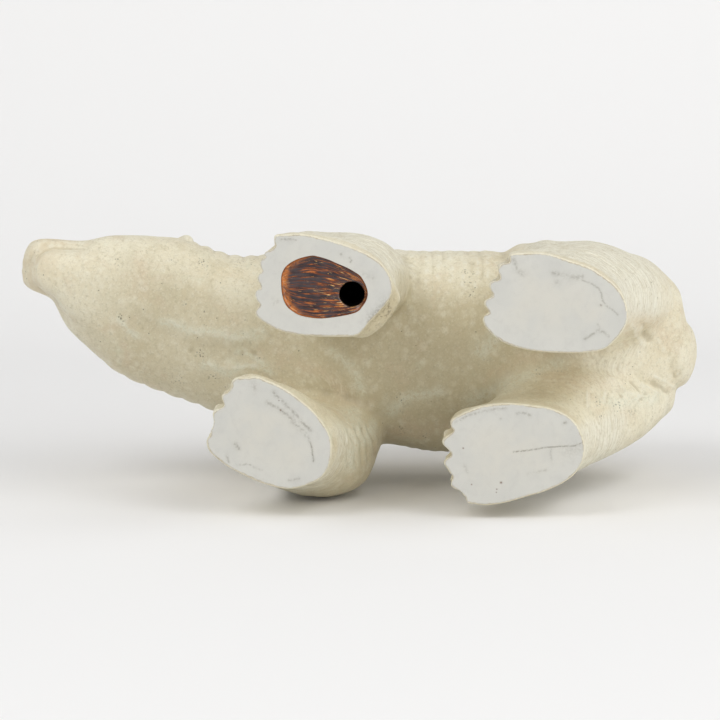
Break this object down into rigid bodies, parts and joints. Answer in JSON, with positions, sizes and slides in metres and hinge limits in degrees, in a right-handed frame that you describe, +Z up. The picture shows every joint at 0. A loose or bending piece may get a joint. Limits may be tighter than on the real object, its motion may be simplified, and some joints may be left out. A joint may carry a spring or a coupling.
{
  "type": "polar bear figurine",
  "caption": "Walking polar bear ornament in hollow stoneware, cream matt glaze with carved fur, bare clay soles and a brown glazed panel with a firing vent.",
  "frame": {"origin": "on the standing surface, under the middle of the bear's outline seen from above", "axes": "+Z up, the bear walks towards -Y with its head turned a little to its left, and its left side is at +X"},
  "size_m": [0.1358, 0.3456, 0.1678],
  "materials": {
    "cream_glaze": "cream matt stoneware glaze, mottled, lighter on the carved ridges and olive in the hollows",
    "bare_clay": "bare pale grey stoneware, ground flat, with fine dark scuffs and brown specks",
    "brown_glaze": "glossy dark brown glaze brushed over rust red and tan streaks"
  },
  "bodies": {
    "root": {"trunk": "cream_glaze", "head_and_neck": "cream_glaze", "left_ear": "cream_glaze", "right_ear": "cream_glaze", "tail": "cream_glaze", "left_fore_leg": "cream_glaze", "right_fore_leg": "cream_glaze", "left_hind_leg": "cream_glaze", "right_hind_leg": "cream_glaze", "left_fore_sole": "bare_clay", "right_fore_sole": "bare_clay", "left_hind_sole": "bare_clay", "right_hind_sole": "bare_clay", "stamp_panel": "brown_glaze"}
  },
  "joints": []
}
